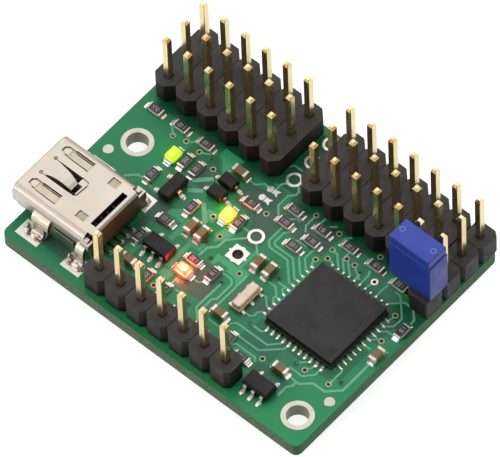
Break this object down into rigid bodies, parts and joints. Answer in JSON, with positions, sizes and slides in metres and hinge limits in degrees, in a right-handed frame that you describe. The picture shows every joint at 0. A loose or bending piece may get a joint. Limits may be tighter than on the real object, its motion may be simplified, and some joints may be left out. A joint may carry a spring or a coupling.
{
  "type": "servo driver board",
  "caption": "Small green servo controller circuit board with upright servo, power and serial pin headers, a mini USB socket, lit indicator lamps and a blue shorting block.",
  "frame": {"origin": "centre of the board's underside", "axes": "+Z out of the board's component side, +X along the board's long edge away from the USB socket, +Y towards the servo headers"},
  "size_m": [0.0367, 0.0281, 0.0119],
  "materials": {
    "board_laminate": "satin green solder mask over glass-fibre laminate",
    "solder_plating": "satin tin plating",
    "header_plastic": "moulded black plastic",
    "pin_gold": "thin gold plating",
    "socket_steel": "satin nickel plating",
    "chip_plastic": "fine moulded epoxy",
    "ceramic_brown": "fired ceramic",
    "lamp_green": "lit clear resin",
    "lamp_yellow": "lit clear resin",
    "lamp_red": "lit clear resin",
    "blue_plastic": "moulded blue plastic"
  },
  "bodies": {
    "board": {"circuit_board": "board_laminate", "mount_hole_plating_left": "solder_plating", "mount_hole_plating_right": "solder_plating", "servo_housing_left": "header_plastic", "servo_housing_right": "header_plastic", "serial_housing": "header_plastic", "power_housing": "header_plastic", "usb_shell": "socket_steel", "usb_insulator": "chip_plastic", "microcontroller": "chip_plastic", "regulator_transistor": "chip_plastic", "regulator_chip": "chip_plastic", "supervisor_chip": "chip_plastic", "diode_upper": "chip_plastic", "diode_lower": "chip_plastic", "resonator_base": "ceramic_brown", "resonator_lid": "socket_steel", "lamp_green": "lamp_green", "lamp_yellow": "lamp_yellow", "lamp_red": "lamp_red", "channel_00_pins": "pin_gold", "channel_01_pins": "pin_gold", "channel_02_pins": "pin_gold", "channel_03_pins": "pin_gold", "channel_04_pins": "pin_gold", "channel_05_pins": "pin_gold", "channel_06_pins": "pin_gold", "channel_07_pins": "pin_gold", "channel_08_pins": "pin_gold", "channel_09_pins": "pin_gold", "channel_10_pins": "pin_gold", "channel_11_pins": "pin_gold", "power_pin_1": "pin_gold", "power_pin_2": "pin_gold", "power_pin_3": "pin_gold", "power_pin_4": "pin_gold", "serial_pin_1": "pin_gold", "serial_pin_2": "pin_gold", "serial_pin_3": "pin_gold", "serial_pin_4": "pin_gold", "serial_pin_5": "pin_gold", "serial_pin_6": "pin_gold", "serial_pin_7": "pin_gold", "usb_contact_1": "solder_plating", "usb_contact_2": "solder_plating", "usb_contact_3": "solder_plating", "usb_contact_4": "solder_plating", "usb_contact_5": "solder_plating", "capacitor_1": "ceramic_brown", "capacitor_2": "ceramic_brown", "capacitor_3": "ceramic_brown", "capacitor_4": "ceramic_brown", "capacitor_5": "ceramic_brown", "capacitor_6": "ceramic_brown", "capacitor_7": "ceramic_brown", "capacitor_8": "ceramic_brown", "capacitor_9": "ceramic_brown"},
    "shorting_block": {"shorting_block_housing": "blue_plastic", "shorting_block_clip": "pin_gold"}
  },
  "joints": [
    {"name": "shorting_block_pull", "type": "slide", "parent": "board", "child": "shorting_block", "axis": [0, 0, 1], "range_m": [0, 0.006]}
  ]
}
